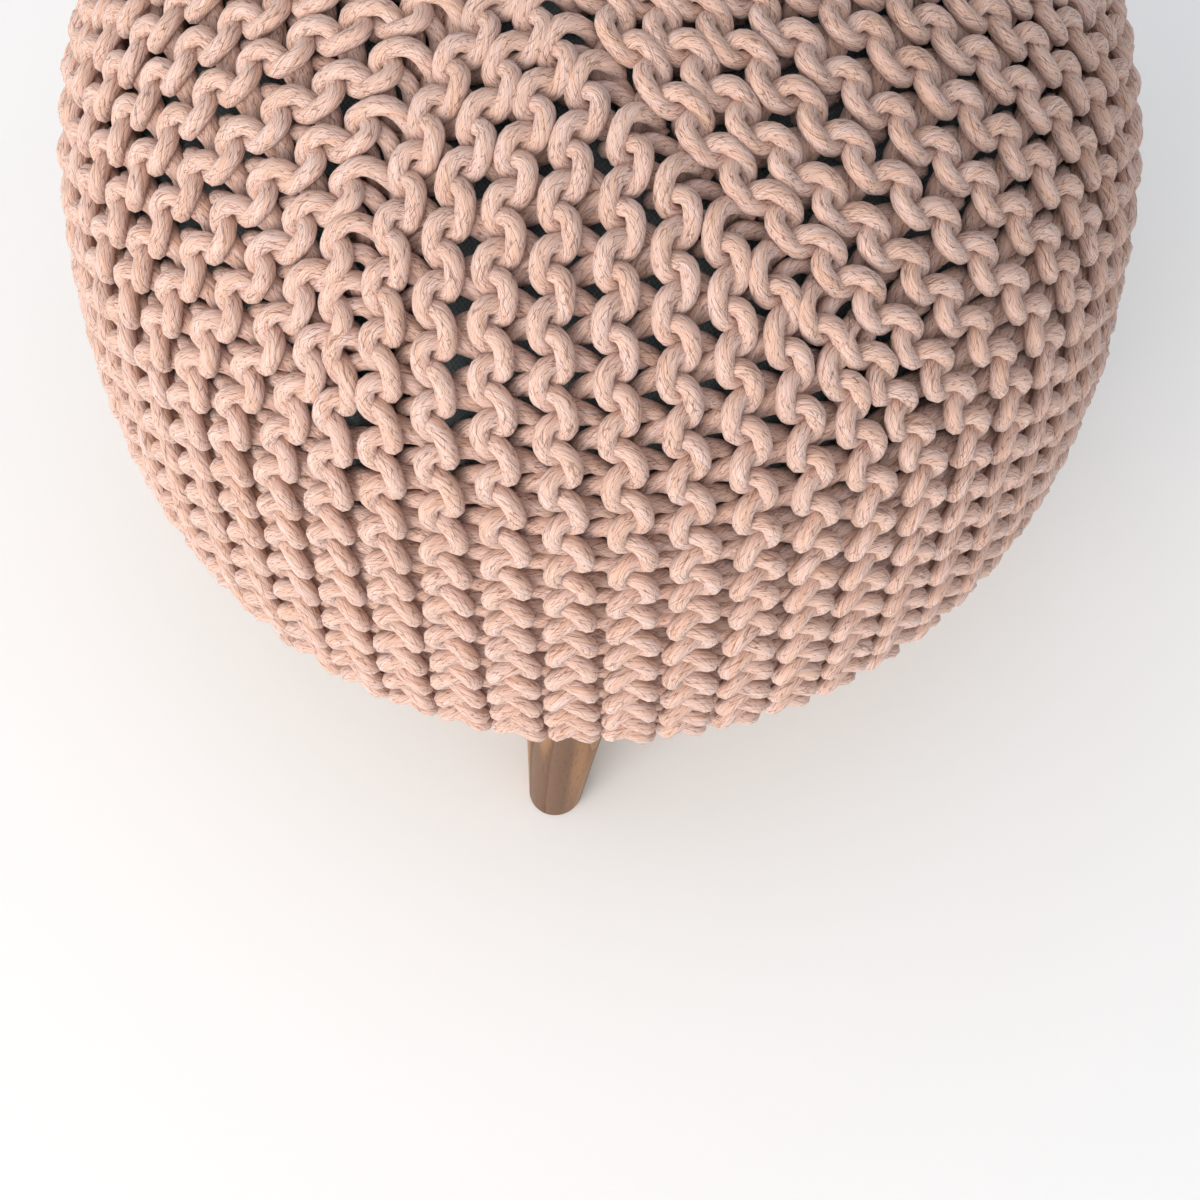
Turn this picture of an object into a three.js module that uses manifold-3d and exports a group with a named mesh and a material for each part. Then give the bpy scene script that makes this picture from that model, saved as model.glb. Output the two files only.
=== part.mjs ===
// Round knitted footstool: a knitted cover over a filled round pad, on a round
// board with four splayed turned legs.
// Millimetres, +Z up. The origin is on the floor, under the middle of the stool.
// Azimuths are in degrees from -Y (the front), growing towards +X.

import * as THREE from 'three';
import { mergeVertices } from 'three/addons/utils/BufferGeometryUtils.js';
import Module from 'manifold-3d';

const wasm = await Module();
wasm.setup();

// ---------------------------------------------------------------- sizes

const STOOL_HEIGHT = 470; // floor to the top of the crown
const COVER_RADIUS = 225; // over the rib crests, at the widest place
const COVER_WALL = 18; // thickness of the knitted cover at a crest
const HEM_RADIUS = 181; // inner edge of the cover, under the board
const GAP = 0.3; // air between two pieces that touch

const WEDGES = 6; // the cover is knitted sideways in six wedges
const RIBS_PER_WEDGE = 10;
const RIBS = WEDGES * RIBS_PER_WEDGE;
const RIB_DEPTH = 7; // crest to valley on the side
const FIRST_RIB_TURN = -21; // where the first wedge begins, before the ribs are spread
// The knit is pulled a little to one side: the ribs stand further apart there and
// closer together opposite. The pull eases towards the hem.
const WIDE_SIDE_AZIMUTH = 5.65;
const RIB_SPREAD = 5.25; // degrees by which a rib is moved at the most, higher up
const LOW_RIB_SPREAD = 2.2; // the same near the hem
const EASE_START = 285; // distances down from the crown's middle
const EASE_END = 365;

const BOARD_THICKNESS = 15;
const BOARD_RADIUS = 186;
const BOARD_EDGE = 3; // rounding of the board's rim

const LEG_SPLAY = 14; // degrees from upright
const LEG_SWING = 16; // degrees by which the splay is turned from straight outwards
const LEG_FOOT_CIRCLE = 183; // radius of the circle through the feet's middles
const FRONT_FOOT_AZIMUTH = -1;
const LEG_TOP_RADIUS = 27;
const LEG_FOOT_RADIUS = 12;
const LEG_SPARE = 12; // turned longer at both ends, then cut level
const LEG_SIDES = 32;

const CUT_SPARE = 5; // how far a cutter passes the faces that it cuts
const WELD_DISTANCE = 1e-4; // points closer than this are one point

// The cover's outer profile from the middle of the crown to the hem, as tangent
// arcs. turn_to is the heading at the arc's end: 0 outwards, 90 down, 180 inwards.
const PROFILE = [
  { name: 'crown', arc_radius: 260, turn_to: 36.4, steps: 6 },
  { name: 'shoulder', arc_radius: 170, turn_to: 87, steps: 7 },
  { name: 'side', arc_radius: 1840, turn_to: 89, steps: 1 },
  { name: 'lower_side', arc_radius: 371, turn_to: 100.7, steps: 2 },
  { name: 'tuck', arc_radius: 34, turn_to: 180, steps: 4 },
];

// How deep the ribs are along the profile, as shares of RIB_DEPTH by heading.
const RIB_FADE = [
  { heading: 20, share: 0 },
  { heading: 50, share: 0.5 },
  { heading: 80, share: 1 },
  { heading: 130, share: 1 },
  { heading: 180, share: 0.45 },
];

// ---------------------------------------------------------------- helpers

const toRadians = THREE.MathUtils.degToRad;

// Points of the profile, moved inwards by inset, from the crown to the underside.
function profilePoints(inset) {
  let heading = 0;
  let distance = 0;
  let radius = 0;
  let height = STOOL_HEIGHT - inset;
  const points = [{ radius, height, heading, distance }];
  for (const section of PROFILE) {
    const arcRadius = section.arc_radius - inset;
    const start = heading;
    for (let step = 1; step <= section.steps; step += 1) {
      const next = start + ((section.turn_to - start) * step) / section.steps;
      radius += arcRadius * (Math.sin(toRadians(next)) - Math.sin(toRadians(heading)));
      height += arcRadius * (Math.cos(toRadians(next)) - Math.cos(toRadians(heading)));
      distance += arcRadius * toRadians(next - heading);
      heading = next;
      points.push({ radius, height, heading, distance });
    }
  }
  // the arcs come within a millimetre of the widest radius and are brought to it
  const widest = Math.max(...points.map((point) => point.radius));
  for (const point of points) point.radius *= (COVER_RADIUS - inset) / widest;
  return points;
}

const outerPoints = profilePoints(0);
const UNDERSIDE = outerPoints[outerPoints.length - 1].height;

function ribShare(heading) {
  if (heading <= RIB_FADE[0].heading) return RIB_FADE[0].share;
  for (let row = 1; row < RIB_FADE.length; row += 1) {
    const low = RIB_FADE[row - 1];
    const high = RIB_FADE[row];
    if (heading <= high.heading) {
      const along = (heading - low.heading) / (high.heading - low.heading);
      return low.share + (high.share - low.share) * along;
    }
  }
  return RIB_FADE[RIB_FADE.length - 1].share;
}

// LatheGeometry turns about Y, so the result is stood up along Z. A lathe whose
// profile runs from the top of the axis down to its bottom has its faces outwards
// once its points are given from the bottom up.
function lathe(points, sides) {
  const profile = points.map(([radius, height]) => new THREE.Vector2(radius, height));
  return new THREE.LatheGeometry(profile, sides).rotateX(Math.PI / 2);
}

function toManifold(geometry) {
  const bare = geometry.clone();
  bare.deleteAttribute('normal');
  bare.deleteAttribute('uv');
  const merged = mergeVertices(bare, WELD_DISTANCE);
  const triangles = [];
  const index = merged.index.array;
  for (let corner = 0; corner < index.length; corner += 3) {
    const [a, b, c] = [index[corner], index[corner + 1], index[corner + 2]];
    if (a !== b && b !== c && c !== a) triangles.push(a, b, c);
  }
  return new wasm.Manifold(
    new wasm.Mesh({
      numProp: 3,
      vertProperties: Float32Array.from(merged.attributes.position.array),
      triVerts: Uint32Array.from(triangles),
    }),
  );
}

function toGeometry(solid) {
  const mesh = solid.getMesh();
  const geometry = new THREE.BufferGeometry();
  geometry.setAttribute('position', new THREE.BufferAttribute(mesh.vertProperties, 3));
  geometry.setIndex(new THREE.BufferAttribute(mesh.triVerts, 1));
  geometry.computeVertexNormals();
  return geometry;
}

function namedMesh(name, geometry, material) {
  const mesh = new THREE.Mesh(geometry, material);
  mesh.name = name;
  return mesh;
}

// ---------------------------------------------------------------- materials

const ropeMaterial = new THREE.MeshStandardMaterial({
  color: 0xe6c1b0,
  roughness: 0.92,
  metalness: 0,
});
const liningMaterial = new THREE.MeshStandardMaterial({
  color: 0x343c3f,
  roughness: 0.95,
  metalness: 0,
});
const boardMaterial = new THREE.MeshStandardMaterial({
  color: 0xb8986f,
  roughness: 0.75,
  metalness: 0,
});
const legMaterial = new THREE.MeshStandardMaterial({
  color: 0x9a704c,
  roughness: 0.45,
  metalness: 0,
});

// ---------------------------------------------------------------- knitted cover

function ribAzimuth(column, distance) {
  const turn = FIRST_RIB_TURN + (column * 180) / RIBS;
  const spread = THREE.MathUtils.mapLinear(
    THREE.MathUtils.clamp(distance, EASE_START, EASE_END),
    EASE_START,
    EASE_END,
    RIB_SPREAD,
    LOW_RIB_SPREAD,
  );
  return WIDE_SIDE_AZIMUTH + turn + spread * Math.sin(toRadians(turn));
}

// Every second point around is a crest and the others are valleys. The valleys are
// drawn in along the profile's own normal.
function ribbedBody() {
  const bottomUp = outerPoints.slice().reverse();
  const profile = bottomUp.map((point) => [point.radius, point.height]);
  profile.unshift([0, UNDERSIDE]);
  const geometry = lathe(profile, RIBS * 2);
  const position = geometry.attributes.position;
  const rows = profile.length;
  for (let vertex = 0; vertex < position.count; vertex += 1) {
    const row = vertex % rows;
    const column = Math.floor(vertex / rows) % (RIBS * 2);
    const point = row === 0 ? null : bottomUp[row - 1];
    let radius = point === null ? 0 : point.radius;
    let height = point === null ? UNDERSIDE : point.height;
    if (point !== null && column % 2 === 1) {
      const depth = RIB_DEPTH * ribShare(point.heading);
      radius -= depth * Math.sin(toRadians(point.heading));
      // the underside stays one level face, so that the cover can be cut square
      if (point.heading < 180) height -= depth * Math.cos(toRadians(point.heading));
    }
    const azimuth = toRadians(ribAzimuth(column, point === null ? EASE_END : point.distance));
    position.setXYZ(vertex, radius * Math.sin(azimuth), -radius * Math.cos(azimuth), height);
  }
  return geometry;
}

const BOARD_UNDERSIDE = UNDERSIDE + COVER_WALL + GAP;
const BOARD_TOP = BOARD_UNDERSIDE + BOARD_THICKNESS;
const PAD_UNDERSIDE = BOARD_TOP + GAP;

function knitCover() {
  // the room inside, for the pad and the board
  const room = profilePoints(COVER_WALL).map((point) => [point.radius, point.height]);
  room.push([0, room[room.length - 1][1]]);
  const mouth = lathe(
    [
      [0, UNDERSIDE - CUT_SPARE],
      [HEM_RADIUS, UNDERSIDE - CUT_SPARE],
      [HEM_RADIUS, BOARD_UNDERSIDE + CUT_SPARE],
      [0, BOARD_UNDERSIDE + CUT_SPARE],
    ],
    RIBS,
  );
  const body = toManifold(ribbedBody());
  const cut = body.subtract(toManifold(lathe(room.reverse(), RIBS))).subtract(toManifold(mouth));
  return namedMesh('knit_cover', toGeometry(cut), ropeMaterial);
}

// ---------------------------------------------------------------- pad and board

// The pad fills the cover from the board up, one gap smaller all round. Its lower
// edge is where the cover's inner line meets the board's top.
function innerPad() {
  const room = profilePoints(COVER_WALL + GAP);
  const points = [];
  for (let row = 0; row < room.length; row += 1) {
    const { radius, height } = room[row];
    if (height <= PAD_UNDERSIDE) {
      const above = room[row - 1];
      const share = (above.height - PAD_UNDERSIDE) / (above.height - height);
      points.push([above.radius + (radius - above.radius) * share, PAD_UNDERSIDE]);
      break;
    }
    points.push([radius, height]);
  }
  points.push([0, PAD_UNDERSIDE]);
  return namedMesh('inner_pad', lathe(points.reverse(), RIBS), liningMaterial);
}

function baseBoard() {
  const points = [
    [0, BOARD_UNDERSIDE],
    [BOARD_RADIUS - BOARD_EDGE, BOARD_UNDERSIDE],
    [BOARD_RADIUS, BOARD_UNDERSIDE + BOARD_EDGE],
    [BOARD_RADIUS, BOARD_TOP - BOARD_EDGE],
    [BOARD_RADIUS - BOARD_EDGE, BOARD_TOP],
    [0, BOARD_TOP],
  ];
  return namedMesh('base_board', lathe(points, RIBS), boardMaterial);
}

// ---------------------------------------------------------------- legs

const LEG_HEIGHT = BOARD_UNDERSIDE - GAP;

// A straight taper turned about its own axis, leaned outwards and a little round the
// stool, and cut level at the board and at the floor.
function turnedLeg() {
  const slope = Math.cos(toRadians(LEG_SPLAY));
  const length = LEG_HEIGHT / slope;
  const taper = (LEG_TOP_RADIUS - LEG_FOOT_RADIUS) / length;
  const blank = lathe(
    [
      [0, -LEG_SPARE],
      [LEG_FOOT_RADIUS - taper * LEG_SPARE, -LEG_SPARE],
      [LEG_TOP_RADIUS + taper * LEG_SPARE, length + LEG_SPARE],
      [0, length + LEG_SPARE],
    ],
    LEG_SIDES,
  );
  blank.rotateX(toRadians(-LEG_SPLAY));
  blank.rotateZ(toRadians(-LEG_SWING));
  blank.translate(0, -LEG_FOOT_CIRCLE, 0);
  const span = 2 * (LEG_FOOT_CIRCLE + LEG_TOP_RADIUS);
  const slab = new THREE.BoxGeometry(span, span, LEG_HEIGHT);
  slab.translate(0, 0, LEG_HEIGHT / 2);
  return toGeometry(toManifold(blank).intersect(toManifold(slab)));
}

const LEG_PLACES = [
  { name: 'leg_front', azimuth: FRONT_FOOT_AZIMUTH },
  { name: 'leg_right', azimuth: FRONT_FOOT_AZIMUTH + 90 },
  { name: 'leg_back', azimuth: FRONT_FOOT_AZIMUTH + 180 },
  { name: 'leg_left', azimuth: FRONT_FOOT_AZIMUTH + 270 },
];

function legs() {
  return LEG_PLACES.map((place) => {
    const leg = namedMesh(place.name, turnedLeg(), legMaterial);
    leg.rotation.z = toRadians(place.azimuth);
    return leg;
  });
}

// ---------------------------------------------------------------- the stool

const stool = new THREE.Group();
stool.add(knitCover(), innerPad(), baseBoard(), ...legs());

export default stool;
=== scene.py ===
"""Round knitted footstool: a garter-stitch rope cover over a lined round pad, a round
plywood board and four splayed turned legs. Metres, +Z up, the front leg towards -Y."""

import math

import bmesh
import bpy
import numpy as np
from mathutils import Matrix, Vector


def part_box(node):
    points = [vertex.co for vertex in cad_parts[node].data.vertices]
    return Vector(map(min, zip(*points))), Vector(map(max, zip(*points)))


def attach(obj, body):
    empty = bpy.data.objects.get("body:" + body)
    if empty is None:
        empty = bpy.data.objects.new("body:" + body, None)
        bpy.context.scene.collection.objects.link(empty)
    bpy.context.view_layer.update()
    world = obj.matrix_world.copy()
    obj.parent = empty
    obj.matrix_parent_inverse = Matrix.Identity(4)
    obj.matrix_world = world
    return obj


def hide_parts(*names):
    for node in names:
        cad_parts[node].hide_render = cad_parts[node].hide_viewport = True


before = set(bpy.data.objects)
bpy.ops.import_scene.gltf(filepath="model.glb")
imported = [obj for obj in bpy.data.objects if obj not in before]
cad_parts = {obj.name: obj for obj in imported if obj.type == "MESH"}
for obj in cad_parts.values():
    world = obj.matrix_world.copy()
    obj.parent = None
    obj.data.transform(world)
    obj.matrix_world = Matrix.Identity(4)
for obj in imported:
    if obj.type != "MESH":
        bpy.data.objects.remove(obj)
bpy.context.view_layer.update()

MM = 0.001

# ------------------------------------------------------------------ sizes, millimetres

STOOL_HEIGHT = 470.0
COVER_RADIUS = 225.0
HEM_RADIUS = 181.0

# The cover's outer line from the middle of the crown to the underside, as tangent arcs:
# name, radius of the arc, heading at its end (0 outwards, 90 down, 180 inwards).
PROFILE = (
    ("crown", 260.0, 36.4),
    ("shoulder", 170.0, 87.0),
    ("side", 1840.0, 89.0),
    ("lower side", 371.0, 100.7),
    ("tuck", 34.0, 180.0),
)

UNDERSIDE_REACHES = (0.5, 1.0, 8.0)  # points inwards of the tuck, in widths of the underside

WEDGES = 6  # the cover is knitted sideways in six wedges
RIDGES = 10  # ridges in one wedge
FIRST_RIDGE_TURN = -21.0
WIDE_SIDE_AZIMUTH = 5.65  # the ridges stand further apart on this side
RIDGE_SPREAD = 5.25  # degrees by which a ridge is moved at the most, higher up
LOW_RIDGE_SPREAD = 2.2  # the same near the hem
SPREAD_EASES = (285.0, 365.0)  # distances down from the crown's middle

STITCH = 23.43  # along a ridge
RIDGE_STEP = 23.4  # from one ridge to the next
ROPE = 7.4  # diameter of the rope
ROPE_SQUEEZE = 0.06  # share by which it is thicker in front and thinner at the back
KNIT_MIDDLE = 11.0  # depth of the fabric's middle under the cover's outer face
HEM_START = 2.6  # from the hem's edge to the first stitch

# The pole is where the six wedges meet. It sits a little off the stool's axis.
POLE = (-11.0, -25.0)
RING = 290.0  # from the crown's middle down to where the ridges run straight
POLE_CLEARANCE = 12.0  # from the pole to where a wedge's first ridge ends

# A wedge's edge and its ridges' upper courses are curves that leave their start leaning
# off the straight line and run into the ring along its azimuth.
BOUNDARY_LEAN = 25.0  # degrees, at the wedge's edge; it falls off ridge by ridge
LEAN_GONE_AT = 8.5  # ridges from the edge
START_REACH = 0.456  # of the curve's handles, in lengths of the chord
RING_REACH = 0.2
FIRST_STARTS = (8.0, 14.0)  # down the wedge's edge: the first ridge and each one after it
LATER_STARTS = (53.0, 23.7)  # the same from the fourth ridge on
EDGE_LENGTH = 295.0  # the length that those two are measured on
START_OFFSET = 15.0  # from the next wedge's first ridge to where a ridge starts
RUN_OUT = 40.0  # by which a ridge's middle line runs on past its start
PAST_HEM = 30.0  # and past the hem
LOWER_STEP = 4.0  # between the points of a ridge below the ring
FINE_STEP = 2.0  # between the points of a ridge's middle line
TANGENT_SMOOTHING = 9  # points that a tangent is the mean of
TOP_ROOM = 7.0  # the turn at a ridge's top reaches this far past its last stitch

# Ridge widths, as shares of the step between ridges. Distances are down from the
# crown's middle.
CROWN_WIDTH = 0.98
SIDE_BEGINS, SIDE_EASES = 150.0, 100.0  # from here on, the ridges fill the cover's girth
LOW_BEGINS, LOW_EASES = 270.0, 130.0  # and from here on, they swell
LOW_FULLNESS = 0.30  # share by which the ridges swell towards the hem
FULL_WIDTH_AT = 19.0  # from the pole to where a ridge has its full width
POLE_WIDTH = 0.6  # the least share of it

MOST_LEAN = 0.6  # of a line from stitch to stitch, sideways for each step across
LEAN_SMOOTHING = 25

# A ring of rope round the pole draws the top in.
GATHER_RADIUS, GATHER_GROWS = 6.0, 2.5
GATHER_DROP, GATHER_SINKS = 14.0, 4.0  # its middle under the cover's outer face
GATHER_POINTS = 60


# ------------------------------------------------------------------ the cover's surface

def profile_line(steps=60):
    """Arrays of distance, radius, height and heading along the cover's outer line."""
    heading = radius = distance = 0.0
    height = STOOL_HEIGHT
    rows = [(distance, radius, height, heading)]
    for _, arc, turn_to in PROFILE:
        start = heading
        for step in range(1, steps + 1):
            turn = start + (turn_to - start) * step / steps
            a, b = math.radians(heading), math.radians(turn)
            radius += arc * (math.sin(b) - math.sin(a))
            height += arc * (math.cos(b) - math.cos(a))
            distance += arc * (b - a)
            heading = turn
            rows.append((distance, radius, height, heading))
    flat = radius - HEM_RADIUS
    for share in UNDERSIDE_REACHES:
        rows.append((distance + flat * share, radius - flat * share, height, 180.0))
    line = np.array(rows).T
    line[1] *= COVER_RADIUS / line[1].max()
    return line, distance + flat


LINE, HEM_DISTANCE = profile_line()


def surface(places):
    """Points and outward normals of the cover's outer face. Places are on the flat map
    on which distance from the middle is distance along the profile."""
    distance = np.hypot(places[:, 0], places[:, 1])
    azimuth = np.arctan2(places[:, 0], -places[:, 1])
    radius = np.interp(distance, LINE[0], LINE[1])
    height = np.interp(distance, LINE[0], LINE[2])
    heading = np.radians(np.interp(distance, LINE[0], LINE[3]))
    out = np.stack([np.sin(azimuth), -np.cos(azimuth), np.zeros_like(azimuth)], axis=1)
    up = np.array([0.0, 0.0, 1.0])
    points = out * radius[:, None] + up * height[:, None]
    normals = out * np.sin(heading)[:, None] + up * np.cos(heading)[:, None]
    return points, normals


def ridge_azimuth(number, distance=0.0):
    """Degrees of a ridge at a distance down from the crown's middle."""
    turn = FIRST_RIDGE_TURN + number * 360.0 / (WEDGES * RIDGES)
    spread = np.interp(distance, SPREAD_EASES, (RIDGE_SPREAD, LOW_RIDGE_SPREAD))
    return WIDE_SIDE_AZIMUTH + turn + spread * math.sin(math.radians(turn))


def map_direction(degrees):
    a = math.radians(degrees)
    return np.array([math.sin(a), -math.cos(a)])


def map_place(distance, degrees):
    return distance * map_direction(degrees)


def bezier(p0, p1, p2, p3, count=80):
    t = np.linspace(0.0, 1.0, count)[:, None]
    return (1 - t) ** 3 * p0 + 3 * t * (1 - t) ** 2 * p1 + 3 * t * t * (1 - t) * p2 + t ** 3 * p3


def turned_course(start, azimuth, lean):
    """A ridge's upper course from its start to the ring, leaning off the straight line."""
    end = map_place(RING, azimuth)
    chord = end - start
    length = np.linalg.norm(chord)
    heading = math.degrees(math.atan2(chord[0], -chord[1])) - lean
    return bezier(
        start,
        start + START_REACH * length * map_direction(heading),
        end - RING_REACH * length * map_direction(azimuth),
        end,
    )


def boundary(wedge):
    """The edge between a wedge and the one before it."""
    return turned_course(np.array(POLE), ridge_azimuth(wedge * RIDGES), BOUNDARY_LEAN)


def along(course, distance):
    """The place and the direction at a distance along a course on the map."""
    steps = np.linalg.norm(np.diff(course, axis=0), axis=1)
    total = np.concatenate([[0.0], np.cumsum(steps)])
    place = np.array([np.interp(distance, total, course[:, k]) for k in (0, 1)])
    ahead = np.array([np.interp(distance + 2.0, total, course[:, k]) for k in (0, 1)])
    behind = np.array([np.interp(distance - 2.0, total, course[:, k]) for k in (0, 1)])
    direction = ahead - behind
    return place, direction / np.linalg.norm(direction), total[-1]


def ridge_course(wedge, ridge):
    """Map places of a ridge from the hem up to its start near the pole or at the next
    wedge's first ridge."""
    number = wedge * RIDGES + ridge
    azimuth = ridge_azimuth(number)
    if ridge == 0:
        upper = boundary(wedge)
        steps = np.linalg.norm(np.diff(upper, axis=0), axis=1)
        upper = upper[np.concatenate([[0.0], np.cumsum(steps)]) > POLE_CLEARANCE]
    else:
        edge = boundary(wedge + 1)
        length = along(edge, 0.0)[2]
        later = LATER_STARTS[0] + LATER_STARTS[1] * (ridge - 3)
        share = max(later, FIRST_STARTS[0] + FIRST_STARTS[1] * ridge) / EDGE_LENGTH
        place, direction, _ = along(edge, share * length)
        aside = np.array([direction[1], -direction[0]])
        if np.dot(aside, map_direction(azimuth - 60.0)) < 0:
            aside = -aside
        start = place + aside * START_OFFSET
        lean = max(0.0, BOUNDARY_LEAN * (1 - ridge / LEAN_GONE_AT))
        upper = turned_course(start, azimuth, lean)
    down = np.arange(RING + LOWER_STEP, HEM_DISTANCE + PAST_HEM, LOWER_STEP)
    lower = np.array([map_place(d, ridge_azimuth(number, d)) for d in down])
    course = np.concatenate([upper, lower])
    onwards = course[0] - course[3]
    first = course[0] + onwards / np.linalg.norm(onwards) * RUN_OUT
    return np.concatenate([[first], course])[::-1]


class Ridge:
    """One ridge's middle line in space: x runs up from the hem."""

    def __init__(self, wedge, ridge):
        course = ridge_course(wedge, ridge)
        fine = []
        for a, b in zip(course[:-1], course[1:]):
            parts = max(1, int(np.linalg.norm(b - a) / FINE_STEP))
            fine += [a + (b - a) * k / parts for k in range(parts)]
        fine.append(course[-1])
        fine = np.array(fine)
        points, normals = surface(fine)
        steps = np.linalg.norm(np.diff(points, axis=0), axis=1)
        length = np.concatenate([[0.0], np.cumsum(steps)])
        distance = np.hypot(fine[:, 0], fine[:, 1])
        hem = np.interp(-HEM_DISTANCE, -distance[:40], length[:40])
        self.x = length - hem
        self.points, self.normals = points, normals
        tangents = np.gradient(points, axis=0)
        kernel = np.ones(TANGENT_SMOOTHING) / TANGENT_SMOOTHING
        half = TANGENT_SMOOTHING // 2
        padded = np.concatenate([[tangents[0]] * half, tangents, [tangents[-1]] * half])
        tangents = np.stack([np.convolve(padded[:, k], kernel, "valid") for k in range(3)], 1)
        self.tangents = tangents / np.linalg.norm(tangents, axis=1)[:, None]
        number = wedge * RIDGES + ridge
        step = math.radians(ridge_azimuth(number + 0.5) - ridge_azimuth(number - 0.5))
        radius = np.interp(distance, LINE[0], LINE[1])
        straight = np.clip((distance - SIDE_BEGINS) / SIDE_EASES, 0.0, 1.0)
        straight = straight * straight * (3 - 2 * straight)
        low = np.clip((distance - LOW_BEGINS) / LOW_EASES, 0.0, 1.0)
        self.width = straight * radius * step / RIDGE_STEP + (1 - straight) * CROWN_WIDTH
        self.width *= 1.0 + LOW_FULLNESS * low
        off_pole = np.hypot(fine[:, 0] - POLE[0], fine[:, 1] - POLE[1])
        self.width *= np.clip(off_pole / FULL_WIDTH_AT, POLE_WIDTH, 1.0)
        self.length = self.x[-1] - RUN_OUT - TOP_ROOM
        self.stitches = max(3, int(round((self.length - HEM_START) / STITCH)))
        self.short = self.length - HEM_START - self.stitches * STITCH
        self.lean = np.zeros_like(self.x)

    def point_at(self, x):
        return np.stack([np.interp(x, self.x, column) for column in self.points.T], 1)

    def place(self, local, leaning=1.0):
        """Space points for local points: x up the ridge, y towards the next ridge, z out."""
        x = local[:, 0] + self.short * np.clip(local[:, 0] / self.length, 0.0, 1.0) ** 4
        pick = [np.interp(x, self.x, a) for a in
                (*self.points.T, *self.normals.T, *self.tangents.T, self.width, self.lean)]
        point, normal = np.stack(pick[0:3], 1), np.stack(pick[3:6], 1)
        tangent, width, lean = np.stack(pick[6:9], 1), pick[9], pick[10] * leaning
        normal /= np.linalg.norm(normal, axis=1)[:, None]
        side = np.cross(tangent, normal)
        side /= np.linalg.norm(side, axis=1)[:, None]
        side += tangent * lean[:, None]
        depth = local[:, 2] - KNIT_MIDDLE
        return point + side * (local[:, 1] * width)[:, None] + normal * depth[:, None]


def set_leans(ridges):
    """The stitches of one ridge hang in those of the next, counted from the hem. Where the
    ridges curve, the line from stitch to stitch leans off the square."""
    for number, ridge in enumerate(ridges):
        before, after = ridges[max(number - 1, 0)], ridges[min(number + 1, RIDGES - 1)]
        here = ridge.points
        across = after.point_at(ridge.x) - before.point_at(ridge.x)
        if number > 0:
            past = ridge.x > after.length
            across[past] = (here - before.point_at(ridge.x))[past]
        side = np.cross(ridge.tangents, ridge.normals)
        sideways = np.maximum((across * side).sum(axis=1), 1.0)
        lean = (across * ridge.tangents).sum(axis=1) / sideways
        inside = (ridge.x > 0.0) & (ridge.x < (ridge if number else after).length)
        lean = np.interp(ridge.x, ridge.x[inside], lean[inside])
        padded = np.pad(lean, LEAN_SMOOTHING // 2, mode="edge")
        lean = np.convolve(padded, np.ones(LEAN_SMOOTHING) / LEAN_SMOOTHING, "valid")
        ridge.lean = np.clip(lean, -MOST_LEAN, MOST_LEAN)


# ------------------------------------------------------------------ the stitches

# One stitch of a row goes once round its phase: 0 is the loop's foot, pi is its head.
# A knit row's head is at the front, and a purl row's foot is.
HALF_LOOP = 11.4  # from the row's middle to the loop's head or foot
LOOP_SQUARE = 0.35  # squares off the head and foot
LOOP_POINT = -0.3
HALF_DEPTH = 6.8
DEPTH_SQUARE = 0.2
LOOP_CORNER = 0.6  # third wave of the along shift
BACK_DROOP = 8.0  # by which the back of a loop hangs lower than its front
SIDE_DROOP = 15.0  # the same on the upright side
SIDE_TOP = (150.0, 220.0)  # along the ridge, where the side's droop ends
DROOP_HEIGHT = 45.0  # over which the droop grows from the hem
LEG_STACK = 2.2  # by which the upper leg of a loop lies over the lower one
LOOP_BULGE = 2.2  # the head and foot are wider than the neck
FRONT_BULGE = 4.2  # the loops' front halves are wider than the back ones

RINGS_PER_STITCH = 28
ROPE_SIDES = 8
BEND_SHARE = 1.2  # how much the bends draw the rings together

WANDER_REACH, WANDER_EVERY = 0.35, 6  # the strand's random drift, and rings between its knots
TURN_REACH, TURN_RINGS = 0.75, 14  # of the turn at a ridge's top, in stitches
HEM_REACH, HEM_RINGS = 0.5, 10  # of the turn at the hem

# The strand from a ridge's top goes under the next wedge's first ridge. Its knots are
# local places counted from the ridge's last stitch.
BAR = (
    (-3.0, 1.0, 2.5),
    (1.0, 7.0, 1.0),
    (0.0, 15.0, -2.5),
    (-4.0, 23.0, -5.5),
    (-9.0, 31.0, -7.0),
)
BAR_DRIFT, BAR_RINGS = 0.6, 16
FIRST_BAR = 2  # the ridges nearer the pole have no bar to see


def row_curve(phase, purl):
    """Local points of a row at the phases given, and x from the hem."""
    side = -1.0 if purl else 1.0
    x = STITCH * phase / (2 * math.pi) + HEM_START
    back = ((1.0 + side * np.cos(phase)) / 2) ** 3
    droop = np.interp(x, (0.0, DROOP_HEIGHT, *SIDE_TOP),
                      (0.0, SIDE_DROOP, SIDE_DROOP, BACK_DROOP)) * back
    x = x + LOOP_BULGE * np.sin(2 * phase) - droop
    x -= side * (FRONT_BULGE * np.sin(phase) + LOOP_CORNER * np.sin(3 * phase))
    y = -(HALF_LOOP * np.cos(phase) + LOOP_SQUARE * np.cos(3 * phase)
          + LOOP_POINT * np.cos(5 * phase))
    z = -side * (HALF_DEPTH * np.cos(phase) + DEPTH_SQUARE * np.cos(3 * phase))
    z += LEG_STACK * np.sin(2 * phase)
    y = y + (RIDGE_STEP / 4 if purl else -RIDGE_STEP / 4)
    return np.stack([x, y, z], axis=1)


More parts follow.
